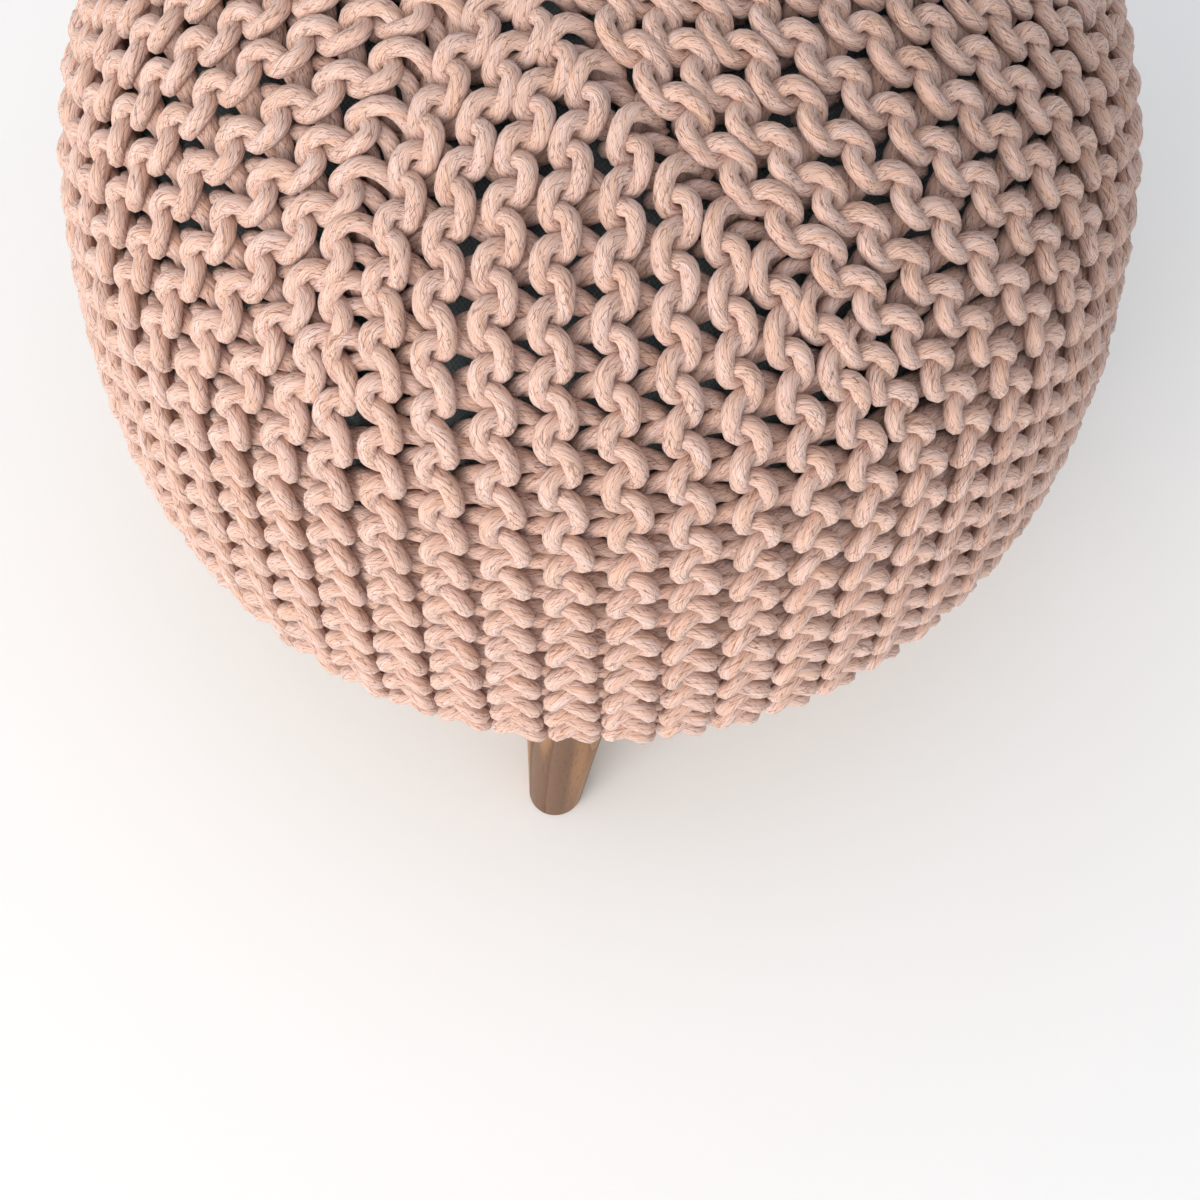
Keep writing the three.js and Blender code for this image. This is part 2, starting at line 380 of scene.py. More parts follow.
def stitch_phases():
    """Phases of one stitch, closer together where the rope bends."""
    fine = np.linspace(0.0, 2 * math.pi, 1441)
    curve = row_curve(fine, False)
    first = np.gradient(curve, axis=0)
    speed = np.linalg.norm(first, axis=1)
    bend = np.linalg.norm(np.gradient(first / speed[:, None], axis=0), axis=1)
    weight = speed / speed.sum() + BEND_SHARE * bend / bend.sum()
    total = np.concatenate([[0.0], np.cumsum(weight[:-1])])
    wanted = np.linspace(0.0, total[-1], RINGS_PER_STITCH, endpoint=False)
    return np.interp(wanted, total, fine)


PHASES = stitch_phases()


def hermite(p0, t0, p3, t3, reach, count):
    """Points between two ends, which the curve leaves and meets along unit tangents."""
    return bezier(p0, p0 + t0 * reach, p3 - t3 * reach, p3, count + 2)[1:-1]


def row_phases(first, last):
    """The rings' phases from one phase to another."""
    turns = np.arange(math.floor(first / (2 * math.pi)), math.ceil(last / (2 * math.pi)) + 1)
    phases = (turns[:, None] * 2 * math.pi + PHASES[None, :]).ravel()
    inside = phases[(phases > first) & (phases < last)]
    return np.concatenate([[first], inside, [last]])


def wander(length, reach, every, rng):
    """A slow random drift of the strand, the same on each run."""
    count = max(4, int(length / every))
    knots = rng.normal(0.0, reach, (count, 3))
    at = np.linspace(0.0, 1.0, length)
    knots_at = np.linspace(0.0, 1.0, count)
    return np.stack([np.interp(at, knots_at, knots[:, k]) for k in range(3)], 1)


def ridge_strand(ridge, rng):
    """The strand of a ridge: its knit row up to the start and its purl row back down."""
    top = 2 * math.pi * ridge.stitches
    up = row_curve(row_phases(math.pi / 2, top - math.pi / 2), False)
    down = row_curve(row_phases(math.pi / 2, top + math.pi / 2), True)[::-1]
    leave = up[-1] - up[-2]
    arrive = down[1] - down[0]
    leave /= np.linalg.norm(leave)
    arrive /= np.linalg.norm(arrive)
    turn = hermite(up[-1], leave, down[0], arrive, TURN_REACH * STITCH, TURN_RINGS)
    local = np.concatenate([up, turn, down])
    local = local + wander(len(local), WANDER_REACH, WANDER_EVERY, rng)
    thick = 1.0 + ROPE_SQUEEZE * local[:, 2] / HALF_DEPTH
    return np.concatenate([ridge.place(local), thick[:, None]], axis=1)


def turn_bar(ridge, rng):
    """The length of strand that goes from a ridge's top under the next wedge's first ridge."""
    knots = np.array(BAR) + rng.normal(0.0, BAR_DRIFT, (len(BAR), 3))
    knots[:, 0] += HEM_START + ridge.stitches * STITCH
    at = np.linspace(0.0, len(BAR) - 1.0, BAR_RINGS)
    local = np.stack([np.interp(at, range(len(BAR)), knots[:, k]) for k in range(3)], 1)
    local = smoothed(smoothed(local))
    return np.concatenate([ridge.place(local, 0.0), np.ones((len(local), 1))], axis=1)


def gathering_ring():
    """Two turns of rope round the pole, each a little wider and deeper."""
    angles = np.linspace(0.0, 4.0 * math.pi, GATHER_POINTS)
    reach = np.linspace(GATHER_RADIUS, GATHER_RADIUS + GATHER_GROWS, len(angles))
    places = np.array(POLE) + reach[:, None] * np.stack([np.cos(angles), np.sin(angles)], 1)
    points, normals = surface(places)
    drop = GATHER_DROP + np.linspace(0.0, GATHER_SINKS, len(angles))
    return np.concatenate([points - normals * drop[:, None], np.ones((len(angles), 1))], axis=1)


def join_strands(parts):
    """One strand out of several, with a short turn at the hem between them."""
    strand = [parts[0]]
    for part in parts[1:]:
        last = strand[-1]
        leave = last[-1] - last[-2]
        arrive = part[1] - part[0]
        leave /= np.linalg.norm(leave[:3])
        arrive /= np.linalg.norm(arrive[:3])
        strand.append(hermite(last[-1], leave, part[0], arrive, HEM_REACH * STITCH, HEM_RINGS))
        strand.append(part)
    return np.concatenate(strand)


def smoothed(points):
    """The same points with their corners rounded, the ends left where they are."""
    inner = 0.25 * points[:-2] + 0.5 * points[1:-1] + 0.25 * points[2:]
    return np.concatenate([points[:1], inner, points[-1:]])


def rope_mesh(name, strand, radius):
    """A closed tube round the strand, whose fourth column scales its radius. Its UV map
    holds millimetres along the rope in U and turns around it in V."""
    count = len(strand)
    points, radii = strand[:, :3], radius * strand[:, 3]
    tangents = np.gradient(points, axis=0)
    tangents /= np.linalg.norm(tangents, axis=1)[:, None]
    normals = np.zeros_like(points)
    normal = np.cross(tangents[0], (0.3, 0.5, 0.8))
    for k in range(count):
        normal = normal - tangents[k] * float(np.dot(normal, tangents[k]))
        normal = normal / math.sqrt(float(np.dot(normal, normal)))
        normals[k] = normal
    across = np.cross(tangents, normals)
    angles = np.arange(ROPE_SIDES) * 2 * math.pi / ROPE_SIDES
    rings = (points[:, None, :]
             + radii[:, None, None] * (np.cos(angles)[None, :, None] * normals[:, None, :]
                                       + np.sin(angles)[None, :, None] * across[:, None, :]))
    vertices = np.concatenate([rings.reshape(-1, 3), points[:1], points[-1:]]) * MM
    ring = np.arange(count - 1)[:, None] * ROPE_SIDES
    side = np.arange(ROPE_SIDES)[None, :]
    following = (side + 1) % ROPE_SIDES
    quads = np.stack([ring + side, ring + following, ring + ROPE_SIDES + following,
                      ring + ROPE_SIDES + side], axis=-1).reshape(-1, 4)
    start, end = count * ROPE_SIDES, count * ROPE_SIDES + 1
    edge = np.arange(ROPE_SIDES)
    nexts = (edge + 1) % ROPE_SIDES
    last = (count - 1) * ROPE_SIDES
    caps = np.concatenate([
        np.stack([np.full(ROPE_SIDES, start), nexts, edge], axis=1),
        np.stack([np.full(ROPE_SIDES, end), last + edge, last + nexts], axis=1)])
    mesh = bpy.data.meshes.new(name)
    loops = np.concatenate([quads.ravel(), caps.ravel()]).astype(np.int32)
    totals = np.concatenate([np.full(len(quads), 4), np.full(len(caps), 3)]).astype(np.int32)
    starts = np.concatenate([[0], np.cumsum(totals)[:-1]]).astype(np.int32)
    mesh.vertices.add(len(vertices))
    mesh.vertices.foreach_set("co", vertices.ravel())
    mesh.loops.add(len(loops))
    mesh.loops.foreach_set("vertex_index", loops)
    mesh.polygons.add(len(totals))
    mesh.polygons.foreach_set("loop_start", starts)
    mesh.update(calc_edges=True)
    length = np.concatenate([[0.0], np.cumsum(np.linalg.norm(np.diff(points, axis=0), axis=1))])
    u0 = np.repeat(length[:-1], ROPE_SIDES)
    u1 = np.repeat(length[1:], ROPE_SIDES)
    v0 = np.tile(edge / ROPE_SIDES, count - 1)
    v1 = v0 + 1.0 / ROPE_SIDES
    quad_uv = np.stack([np.stack([u0, v0], 1), np.stack([u0, v1], 1), np.stack([u1, v1], 1),
                        np.stack([u1, v0], 1)], axis=1).reshape(-1, 2)
    cap_uv = np.zeros((len(caps) * 3, 2))
    layer = mesh.uv_layers.new(name="rope")
    layer.data.foreach_set("uv", np.concatenate([quad_uv, cap_uv]).ravel())
    mesh.polygons.foreach_set("use_smooth", np.ones(len(totals), dtype=bool))
    mesh.validate()
    return mesh


def add_piece(name, mesh):
    piece = bpy.data.objects.new(name, mesh)
    bpy.context.scene.collection.objects.link(piece)
    return piece


def joined(meshes):
    """One mesh out of several."""
    shape = bmesh.new()
    for mesh in meshes:
        shape.from_mesh(mesh)
    shape.to_mesh(meshes[0])
    shape.free()
    for mesh in meshes[1:]:
        bpy.data.meshes.remove(mesh)
    return meshes[0]


def knitted_wedges():
    """The cover: in each wedge, one strand goes up and down its ridges one after another."""
    pieces = []
    for wedge in range(WEDGES):
        rng = np.random.default_rng(100 + wedge)
        ridges = [Ridge(wedge, number) for number in range(RIDGES)]
        set_leans(ridges)
        name = "knit_wedge_%d" % (wedge + 1)
        strands = [join_strands([ridge_strand(ridge, rng) for ridge in ridges])]
        strands += [turn_bar(ridge, rng) for ridge in ridges[FIRST_BAR:]]
        if wedge == 0:
            strands.append(gathering_ring())
        pieces.append(add_piece(name, joined([rope_mesh(name, strand, ROPE / 2)
                                              for strand in strands])))
    return pieces


# ------------------------------------------------------------------ lining and base

CLOTH_RADIUS = 200.0  # of the canvas's cylinder map
LINING_DEPTH = 22.5  # under the cover's outer face
PAD_COLUMNS = 180
PAD_SAMPLES = 200  # places down the cover's line
PAD_KEPT = 3  # one in so many of them makes a row of the pad
PAD_BASE_RINGS = (0.9, 0.6, 0.3)  # of the flat base, as shares of its radius
FLAT_ENOUGH = 0.6  # a face whose normal points more up or down than this is mapped flat


def cloth_place(place, turn, lies_flat):
    """The canvas's map in mm: flat on the crown and the base, rolled round the side."""
    return (place.x, place.y) if lies_flat else (turn * CLOTH_RADIUS, place.z)


def lining_pad():
    """The filled round body inside the cover: crowned, and flat where it rests."""
    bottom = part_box("inner_pad")[0][2] / MM
    down = -np.linspace(0, HEM_DISTANCE, PAD_SAMPLES)
    points, normals = surface(np.stack([np.zeros(PAD_SAMPLES), down], 1))
    inner = points - normals * LINING_DEPTH
    radius, height = -inner[:, 1], inner[:, 2]
    inside = height > bottom
    radius, height = radius[inside][::PAD_KEPT], height[inside][::PAD_KEPT]
    columns = PAD_COLUMNS
    mesh = bpy.data.meshes.new("lining_pad")
    angles = np.arange(columns) * 2 * math.pi / columns
    rows = list(zip(radius[1:], height[1:])) + [(radius[-1], bottom)]
    rows += [(radius[-1] * share, bottom) for share in PAD_BASE_RINGS]
    vertices = [(0.0, 0.0, height[0])]
    for r, z in rows:
        vertices += [(r * math.sin(a), -r * math.cos(a), z) for a in angles]
    vertices.append((0.0, 0.0, bottom))
    faces = []
    for k in range(columns):
        faces.append((0, 1 + k, 1 + (k + 1) % columns))
    for row in range(len(rows) - 1):
        a = 1 + row * columns
        for k in range(columns):
            n = (k + 1) % columns
            faces.append((a + k, a + columns + k, a + columns + n, a + n))
    a = 1 + (len(rows) - 1) * columns
    for k in range(columns):
        faces.append((a + k, len(vertices) - 1, a + (k + 1) % columns))
    mesh.from_pydata([[c * MM for c in v] for v in vertices], [], faces)
    mesh.polygons.foreach_set("use_smooth", [True] * len(faces))
    layer = mesh.uv_layers.new(name="cloth")
    for face in mesh.polygons:
        middle = math.atan2(face.center.x, -face.center.y)
        for corner in face.loop_indices:
            place = mesh.vertices[mesh.loops[corner].vertex_index].co / MM
            turn = math.atan2(place.x, -place.y)
            if turn - middle > math.pi:
                turn -= 2 * math.pi
            elif middle - turn > math.pi:
                turn += 2 * math.pi
            lies_flat = abs(face.normal.z) > FLAT_ENOUGH
            layer.data[corner].uv = cloth_place(place, turn, lies_flat)
    return add_piece("lining_pad", mesh)


# ------------------------------------------------------------------ legs

LEG_SPLAY = math.radians(14.0)  # from upright
LEG_SWING = math.radians(16.0)  # by which the splay is turned from straight outwards
LEG_FOOT_CIRCLE = 183.0  # radius of the circle through the feet's middles
LEG_TOP_RADIUS, LEG_FOOT_RADIUS = 27.0, 12.0
LEG_TOP = 142.11  # height of the legs' upper ends, just under the board
LEG_SPARE = 12.0  # turned longer at both ends, then cut level
LEG_SIDES = 96
FOOT_ROUNDING, FOOT_SEGMENTS = 1.4, 4
SMOOTH_UP_TO = math.radians(35.0)
TIMBER_OFFSET = 40.0  # where the front leg lies in the timber, so that each one's grain differs
LEG_AZIMUTHS = {"leg_front": -1, "leg_right": 89, "leg_back": 179, "leg_left": 269}


def cut_level(height, keep_above):
    """Cuts the leg in edit mode level at a height, and closes it there."""
    bpy.ops.mesh.select_all(action="SELECT")
    bpy.ops.mesh.bisect(plane_co=(0, 0, height * MM), plane_no=(0, 0, 1), use_fill=True,
                        clear_inner=keep_above, clear_outer=not keep_above)


def turned_leg(name, azimuth):
    """A tapered turned leg, splayed outwards and cut level at its foot and its top."""
    bpy.ops.object.select_all(action="DESELECT")
    length = LEG_TOP / math.cos(LEG_SPLAY)
    taper = (LEG_TOP_RADIUS - LEG_FOOT_RADIUS) / length
    bpy.ops.mesh.primitive_cone_add(
        vertices=LEG_SIDES, radius1=(LEG_FOOT_RADIUS - taper * LEG_SPARE) * MM,
        radius2=(LEG_TOP_RADIUS + taper * LEG_SPARE) * MM,
        depth=(length + 2 * LEG_SPARE) * MM, location=(0, 0, 0))
    leg = bpy.context.object
    leg.name = leg.data.name = name + "_turned"
    lean = Matrix.Rotation(math.radians(azimuth), 4, "Z")
    lean @= Matrix.Translation((0, -LEG_FOOT_CIRCLE * MM, 0))
    lean @= Matrix.Rotation(-LEG_SWING, 4, "Z")
    lean @= Matrix.Rotation(-LEG_SPLAY, 4, "X")
    lean @= Matrix.Translation((0, 0, length / 2 * MM))
    leg.data.transform(lean)
    bpy.ops.object.mode_set(mode="EDIT")
    cut_level(0.0, True)
    cut_level(LEG_TOP, False)
    bpy.ops.mesh.select_all(action="DESELECT")
    bpy.ops.mesh.select_mode(type="EDGE")
    bpy.ops.object.mode_set(mode="OBJECT")
    for edge in leg.data.edges:
        edge.select = all(leg.data.vertices[v].co.z < FOOT_ROUNDING / 10 * MM
                          for v in edge.vertices)
    bpy.ops.object.mode_set(mode="EDIT")
    bpy.ops.mesh.bevel(offset=FOOT_ROUNDING * MM, segments=FOOT_SEGMENTS, affect="EDGES")
    bpy.ops.mesh.select_all(action="SELECT")
    bpy.ops.mesh.normals_make_consistent(inside=False)
    bpy.ops.object.mode_set(mode="OBJECT")
    bpy.ops.object.shade_smooth_by_angle(angle=SMOOTH_UP_TO)
    inverse = lean.inverted()
    timber = leg.data.attributes.new("timber", "FLOAT_VECTOR", "POINT")
    shift = Vector((0, 0, TIMBER_OFFSET + azimuth))
    places = [inverse @ vertex.co / MM + shift for vertex in leg.data.vertices]
    timber.data.foreach_set("vector", [c for place in places for c in place])
    return leg


# ------------------------------------------------------------------ materials

WHITE = (1.0, 1.0, 1.0)
BLACK = (0.0, 0.0, 0.0)

YARNS = 9  # twisted together in the rope
YARN_PITCH = 48.0  # along the rope in one turn of a yarn
CROSS_PITCH = -80.0  # the same for the few fibres that cross them
FIBRE_STRETCH = 0.12  # shortens the fibres' space along the rope, so that they come out long
PLY = 1.5  # thickness of one layer of the board
BOARD_SCALE = 600.0  # units of the grain's space in a metre of the board
THREAD_STEP = 1.0  # between the canvas's threads


def new_material(name):
    material = bpy.data.materials.new(name)
    material.use_nodes = True
    return material, material.node_tree.nodes, material.node_tree.links


def maths(nodes, links, operation, first, second=None, third=None):
    """A maths node; each input is a number or a socket. Gives its output."""
    node = nodes.new("ShaderNodeMath")
    node.operation = operation
    for socket, value in zip(node.inputs, (first, second, third)):
        if value is None:
            continue
        if isinstance(value, (int, float)):
            socket.default_value = value
        else:
            links.new(value, socket)
    return node.outputs[0]


def ramp(nodes, links, value, stops):
    node = nodes.new("ShaderNodeValToRGB")
    links.new(value, node.inputs["Fac"])
    elements = node.color_ramp.elements
    while len(elements) < len(stops):
        elements.new(0.5)
    for element, (place, colour) in zip(elements, stops):
        element.position = place
        element.color = (*colour, 1)
    return node.outputs["Color"]


def noise(nodes, links, vector, scale, detail=2.0, roughness=0.5):
    node = nodes.new("ShaderNodeTexNoise")
    links.new(vector, node.inputs["Vector"])
    node.inputs["Scale"].default_value = scale
    node.inputs["Detail"].default_value = detail
    node.inputs["Roughness"].default_value = roughness
    return node.outputs[0]


def mixed(nodes, links, factor, first, second, blend="MIX"):
    node = nodes.new("ShaderNodeMix")
    node.data_type = "RGBA"
    node.blend_type = blend
    for socket, value in zip((node.inputs[0], node.inputs[6], node.inputs[7]),
                             (factor, first, second)):
        if isinstance(value, (int, float)):
            socket.default_value = value
        elif isinstance(value, tuple):
            socket.default_value = (*value, 1)
        else:
            links.new(value, socket)
    return node.outputs[2]


def mapped(nodes, links, vector, scale, rotation=(0.0, 0.0, 0.0)):
    node = nodes.new("ShaderNodeMapping")
    node.inputs["Scale"].default_value = scale
    node.inputs["Rotation"].default_value = rotation
    links.new(vector, node.inputs["Vector"])
    return node.outputs[0]


def parts_of(nodes, links, vector):
    """The three parts of a vector."""
    node = nodes.new("ShaderNodeSeparateXYZ")
    links.new(vector, node.inputs[0])
    return node.outputs[0:3]


def own_map(nodes, name):
    node = nodes.new("ShaderNodeUVMap")
    node.uv_map = name
    return node.outputs[0]


def raised(nodes, links, shader, height, strength, depth):
    """Bump on a shader, from a height; the depth is in millimetres."""
    bump = nodes.new("ShaderNodeBump")
    bump.inputs["Strength"].default_value = strength
    bump.inputs["Distance"].default_value = depth * MM
    links.new(height, bump.inputs["Height"])
    links.new(bump.outputs[0], shader.inputs["Normal"])


def wound_place(nodes, links, along, turn, pitch):
    """A place on the rope in a space where its fibres run straight, and its angle there."""
    wound = maths(nodes, links, "MULTIPLY_ADD", along, pitch, turn)
    angle = maths(nodes, links, "MULTIPLY", wound, 2 * math.pi)
    place = nodes.new("ShaderNodeCombineXYZ")
    for socket, wave in ((0, "COSINE"), (1, "SINE")):
        side = maths(nodes, links, wave, angle)
        links.new(maths(nodes, links, "MULTIPLY", side, ROPE / 2), place.inputs[socket])
    links.new(maths(nodes, links, "MULTIPLY", along, FIBRE_STRETCH), place.inputs[2])
    return place.outputs[0], angle


def rope_material():
    """Soft cotton rope: yarns wound round it, fine fibres along them and a few dark specks."""
    material, nodes, links = new_material("blush_rope")
    shader = nodes["Principled BSDF"]
    along, turn, _ = parts_of(nodes, links, own_map(nodes, "rope"))
    fibre, angle = wound_place(nodes, links, along, turn, 1.0 / YARN_PITCH)
    cross, _ = wound_place(nodes, links, along, turn, 1.0 / CROSS_PITCH)
    wave = noise(nodes, links, fibre, 0.9, 1.0)
    bent = maths(nodes, links, "MULTIPLY_ADD", wave, 2.4,
                 maths(nodes, links, "MULTIPLY", angle, YARNS / 2))
    rounded = maths(nodes, links, "ABSOLUTE", maths(nodes, links, "SINE", bent))
    groove = maths(nodes, links, "POWER", rounded, 0.4)
    fine = noise(nodes, links, fibre, 2.0, 4.0, 0.7)
    tone = noise(nodes, links, fibre, 0.45, 2.0)
    base = ramp(nodes, links, tone, (
        (0.32, (0.69, 0.435, 0.325)), (0.50, (0.725, 0.490, 0.405)), (0.68, (0.745, 0.540, 0.480))))
    streaks = ramp(nodes, links, fine, ((0.34, (0.76, 0.74, 0.73)), (0.58, WHITE)))
    base = mixed(nodes, links, 0.85, base, streaks, "MULTIPLY")
    # Painted shade: the base colour is darkened in the grooves between the yarns, where shade
    # falls.
    groove_shade = ramp(nodes, links, groove, ((0.10, (0.62, 0.55, 0.52)), (0.50, WHITE)))
    base = mixed(nodes, links, 0.75, base, groove_shade, "MULTIPLY")
    for place, scale in ((fibre, 1.1), (cross, 0.9)):
        wisp = noise(nodes, links, place, scale, 0.0)
        off = maths(nodes, links, "ABSOLUTE", maths(nodes, links, "SUBTRACT", wisp, 0.5))
        thread = ramp(nodes, links, off, ((0.008, (0.46, 0.40, 0.39)), (0.035, WHITE)))
        base = mixed(nodes, links, 0.9, base, thread, "MULTIPLY")
    specks = noise(nodes, links, fibre, 2.2, 0.0)
    speck = ramp(nodes, links, specks, ((0.77, BLACK), (0.80, WHITE)))
    base = mixed(nodes, links, speck, base, (0.16, 0.12, 0.11))
    links.new(base, shader.inputs["Base Color"])
    lift = maths(nodes, links, "MULTIPLY_ADD", groove, 0.45,
                 maths(nodes, links, "MULTIPLY", fine, 0.6))
    raised(nodes, links, shader, lift, 0.8, 0.7)
    shader.inputs["Roughness"].default_value = 0.95
    shader.inputs["Specular IOR Level"].default_value = 0.2
    shader.inputs["Sheen Weight"].default_value = 0.25
    shader.inputs["Sheen Roughness"].default_value = 0.6
    return material


def timber_grain():
    """Growth rings, pores and a slow change of tone, for a vector in mm along z."""
    group = bpy.data.node_groups.new("timber_grain", "ShaderNodeTree")
    face = group.interface
    face.new_socket("Place", in_out="INPUT", socket_type="NodeSocketVector")
    for name in ("Rings", "Pores", "Tone"):
        face.new_socket(name, in_out="OUTPUT", socket_type="NodeSocketFloat")
    nodes, links = group.nodes, group.links
    entry, leave = nodes.new("NodeGroupInput"), nodes.new("NodeGroupOutput")
    stretched = mapped(nodes, links, entry.outputs["Place"], (1.0, 1.0, 0.10), (0.30, 0.12, 0.0))
    drift = noise(nodes, links, stretched, 0.035, 1.0, 0.4)
    fine = noise(nodes, links, stretched, 0.30, 2.0, 0.5)
    across = maths(nodes, links, "MULTIPLY_ADD", parts_of(nodes, links, stretched)[0], 0.10,
                   maths(nodes, links, "MULTIPLY", drift, 6.0))
    across = maths(nodes, links, "ADD", across, maths(nodes, links, "MULTIPLY", fine, 0.25))
    rings = maths(nodes, links, "FRACT", across)
    rings = maths(nodes, links, "POWER", rings, 1.6)
    links.new(rings, leave.inputs["Rings"])
    drawn_out = mapped(nodes, links, entry.outputs["Place"], (1.0, 1.0, 0.06))
    pores = noise(nodes, links, drawn_out, 1.8, 1.0, 0.5)
    links.new(pores, leave.inputs["Pores"])
    links.new(drift, leave.inputs["Tone"])
    return group


def leg_wood(grain):
    """Brown wood under a thin finish, with lighter streaks and fine dark pores."""
    material, nodes, links = new_material("oiled_brown_wood")
    shader = nodes["Principled BSDF"]
    place = nodes.new("ShaderNodeAttribute")
    place.attribute_name = "timber"
    figure = nodes.new("ShaderNodeGroup")
    figure.node_tree = grain
    links.new(place.outputs["Vector"], figure.inputs["Place"])
    base = ramp(nodes, links, figure.outputs["Tone"],
                ((0.36, (0.12, 0.056, 0.026)), (0.46, (0.21, 0.100, 0.044)),
                 (0.53, (0.40, 0.200, 0.078)), (0.62, (0.14, 0.068, 0.034))))
    rings = ramp(nodes, links, figure.outputs["Rings"],
                 ((0.0, WHITE), (0.7, (0.86, 0.82, 0.78)), (1.0, (0.60, 0.53, 0.47))))
    base = mixed(nodes, links, 0.7, base, rings, "MULTIPLY")
    pores = ramp(nodes, links, figure.outputs["Pores"],
                 ((0.30, (0.45, 0.40, 0.36)), (0.42, WHITE)))
    base = mixed(nodes, links, 0.7, base, pores, "MULTIPLY")
    links.new(base, shader.inputs["Base Color"])
    rough = nodes.new("ShaderNodeMapRange")
    links.new(figure.outputs["Rings"], rough.inputs["Value"])
    rough.inputs["To Min"].default_value = 0.42
    rough.inputs["To Max"].default_value = 0.58
    links.new(rough.outputs[0], shader.inputs["Roughness"])
    raised(nodes, links, shader, figure.outputs["Pores"], 0.25, 0.3)
    return material


def birch_ply(grain):
    """Pale plywood: grain on its faces and thin dark glue lines round its edge."""
    material, nodes, links = new_material("birch_plywood")
    shader = nodes["Principled BSDF"]
    place = nodes.new("ShaderNodeTexCoord")
    turned = mapped(nodes, links, place.outputs["Object"], (BOARD_SCALE,) * 3,
                    (0.0, math.pi / 2, 0.0))
    figure = nodes.new("ShaderNodeGroup")
    figure.node_tree = grain
    links.new(turned, figure.inputs["Place"])
    base = ramp(nodes, links, figure.outputs["Rings"],
                ((0.0, (0.62, 0.45, 0.28)), (1.0, (0.50, 0.34, 0.20))))
    height = parts_of(nodes, links, place.outputs["Object"])[2]
    layers = maths(nodes, links, "FRACT", maths(nodes, links, "MULTIPLY", height, 1.0 / (PLY * MM)))
    glue = ramp(nodes, links, layers, ((0.10, (0.30, 0.20, 0.14)), (0.18, WHITE)))
    shape = nodes.new("ShaderNodeNewGeometry")
    upwards = parts_of(nodes, links, shape.outputs["Normal"])[2]
    edge = maths(nodes, links, "LESS_THAN", maths(nodes, links, "ABSOLUTE", upwards), 0.9)
    base = mixed(nodes, links, edge, base, mixed(nodes, links, 0.6, base, glue, "MULTIPLY"))
    links.new(base, shader.inputs["Base Color"])
    shader.inputs["Roughness"].default_value = 0.6
    raised(nodes, links, shader, figure.outputs["Pores"], 0.2, 0.3)
    return material


def slate_canvas():
    """Dark canvas with a plain weave, on the lining's own map in mm."""
    material, nodes, links = new_material("slate_canvas")
    shader = nodes["Principled BSDF"]
    place = own_map(nodes, "cloth")
    waves = []
    for side in parts_of(nodes, links, place)[0:2]:
        turn = maths(nodes, links, "MULTIPLY", side, math.pi / THREAD_STEP)
        waves.append(maths(nodes, links, "SINE", turn))
    weave = maths(nodes, links, "MULTIPLY_ADD", maths(nodes, links, "MULTIPLY", *waves), 0.5, 0.5)
    blotch = noise(nodes, links, place, 0.02, 3.0, 0.6)
    base = ramp(nodes, links, blotch, ((0.3, (0.200, 0.255, 0.275)), (0.7, (0.260, 0.320, 0.335))))
    threads = ramp(nodes, links, weave, ((0.2, (0.6, 0.6, 0.6)), (0.8, WHITE)))
    links.new(mixed(nodes, links, 0.8, base, threads, "MULTIPLY"), shader.inputs["Base Color"])
    raised(nodes, links, shader, weave, 0.6, 0.4)
    shader.inputs["Roughness"].default_value = 0.95
    return material


def plain_material(name, colour, roughness):
    material, nodes, _ = new_material(name)
    shader = nodes["Principled BSDF"]
    shader.inputs["Base Color"].default_value = (*colour, 1)
    shader.inputs["Roughness"].default_value = roughness
    return material


# ------------------------------------------------------------------ camera and light

CAMERA_AZIMUTH = 5.5  # degrees from the front
CAMERA_PITCH = 65.65  # degrees that it looks down
CAMERA_RISE = 56.70  # degrees that it stands above the target
CAMERA_DISTANCE = 1500.0  # from the target
CAMERA_TARGET = STOOL_HEIGHT - 90.0  # height of the target, on the stool's axis
CAMERA_SENSOR, CAMERA_LENS = 36.0, 113.52

LIGHT_SIDE = (-0.80, -0.60, 0.0)  # the way to the room's light side
ROOM_DIM, ROOM_LIGHT = (0.35, 0.40, 0.45), (1.28, 1.28, 1.28)
KEY_PLACE, KEY_SIZE, KEY_POWER = (-3.7, -6.1, 2.4), 5.0, 460.0  # metres and watts
KEY_COLOUR = (1.0, 0.93, 0.86)
KEY_AIM = (0.0, 0.0, 0.25)
FLOOR_SIZE, FLOOR_GREY, FLOOR_ROUGHNESS = 14.0, 0.94, 0.8


def add_camera():
    azimuth, rise = math.radians(CAMERA_AZIMUTH), math.radians(CAMERA_RISE)
    level = CAMERA_DISTANCE * math.cos(rise)
    camera = bpy.data.cameras.new("camera")
    camera.sensor_width = CAMERA_SENSOR
    camera.lens = CAMERA_LENS
    piece = bpy.data.objects.new("camera", camera)
    piece.location = (level * math.sin(azimuth) * MM, -level * math.cos(azimuth) * MM,
                      (CAMERA_TARGET + CAMERA_DISTANCE * math.sin(rise)) * MM)
    piece.rotation_euler = (math.radians(90.0 - CAMERA_PITCH), 0.0, azimuth)
    bpy.context.scene.collection.objects.link(piece)
    bpy.context.scene.camera = piece


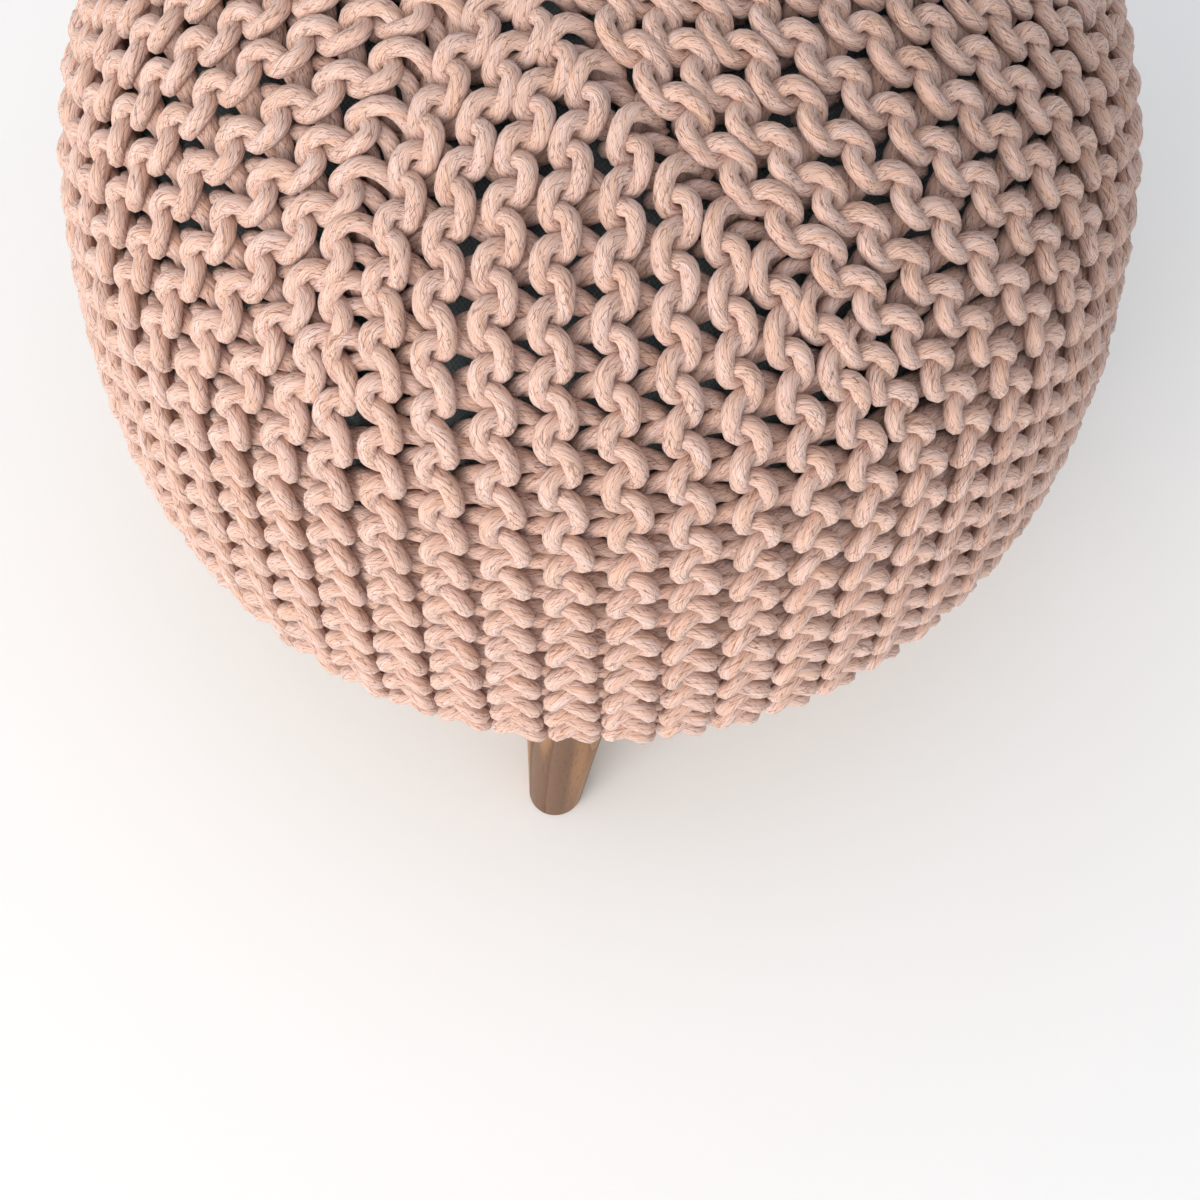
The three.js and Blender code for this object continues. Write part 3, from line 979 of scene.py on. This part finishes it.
def add_key_light():
    light = bpy.data.lights.new("key", "AREA")
    light.energy = KEY_POWER
    light.size = KEY_SIZE
    light.color = KEY_COLOUR
    piece = bpy.data.objects.new("key", light)
    piece.location = KEY_PLACE
    aim = Vector(KEY_AIM) - Vector(KEY_PLACE)
    piece.rotation_euler = aim.to_track_quat("-Z", "Y").to_euler()
    bpy.context.scene.collection.objects.link(piece)


def studio_world():
    """A soft room, lighter on the left and in front, dimmer and cooler on the other side."""
    world = bpy.data.worlds.new("studio")
    world.use_nodes = True
    nodes, links = world.node_tree.nodes, world.node_tree.links
    way = nodes.new("ShaderNodeTexCoord")
    towards = nodes.new("ShaderNodeVectorMath")
    towards.operation = "DOT_PRODUCT"
    towards.inputs[1].default_value = LIGHT_SIDE
    links.new(way.outputs["Generated"], towards.inputs[0])
    share = maths(nodes, links, "MULTIPLY_ADD", towards.outputs["Value"], 0.5, 0.5)
    links.new(mixed(nodes, links, share, ROOM_DIM, ROOM_LIGHT), nodes["Background"].inputs["Color"])
    return world


def add_stage():
    bpy.ops.object.select_all(action="DESELECT")
    bpy.ops.mesh.primitive_plane_add(size=FLOOR_SIZE, location=(0, 0, 0))
    floor = bpy.context.object
    floor.name = "floor"
    floor.data.materials.append(
        plain_material("pale_floor", (FLOOR_GREY,) * 3, FLOOR_ROUGHNESS))
    bpy.context.scene.world = studio_world()
    bpy.context.scene.view_settings.view_transform = "Standard"
    add_key_light()


# ------------------------------------------------------------------ the stool

rope = rope_material()
for piece in knitted_wedges():
    piece.data.materials.append(rope)
    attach(piece, "root")
    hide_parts("knit_cover")

pad = lining_pad()
pad.data.materials.append(slate_canvas())
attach(pad, "root")
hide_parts("inner_pad")

grain = timber_grain()
wood = leg_wood(grain)
for node, azimuth in LEG_AZIMUTHS.items():
    leg = turned_leg(node, azimuth)
    leg.data.materials.append(wood)
    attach(leg, "root")
    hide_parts(node)

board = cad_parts["base_board"]
board.data.materials.clear()
board.data.materials.append(birch_ply(grain))

add_camera()
add_stage()
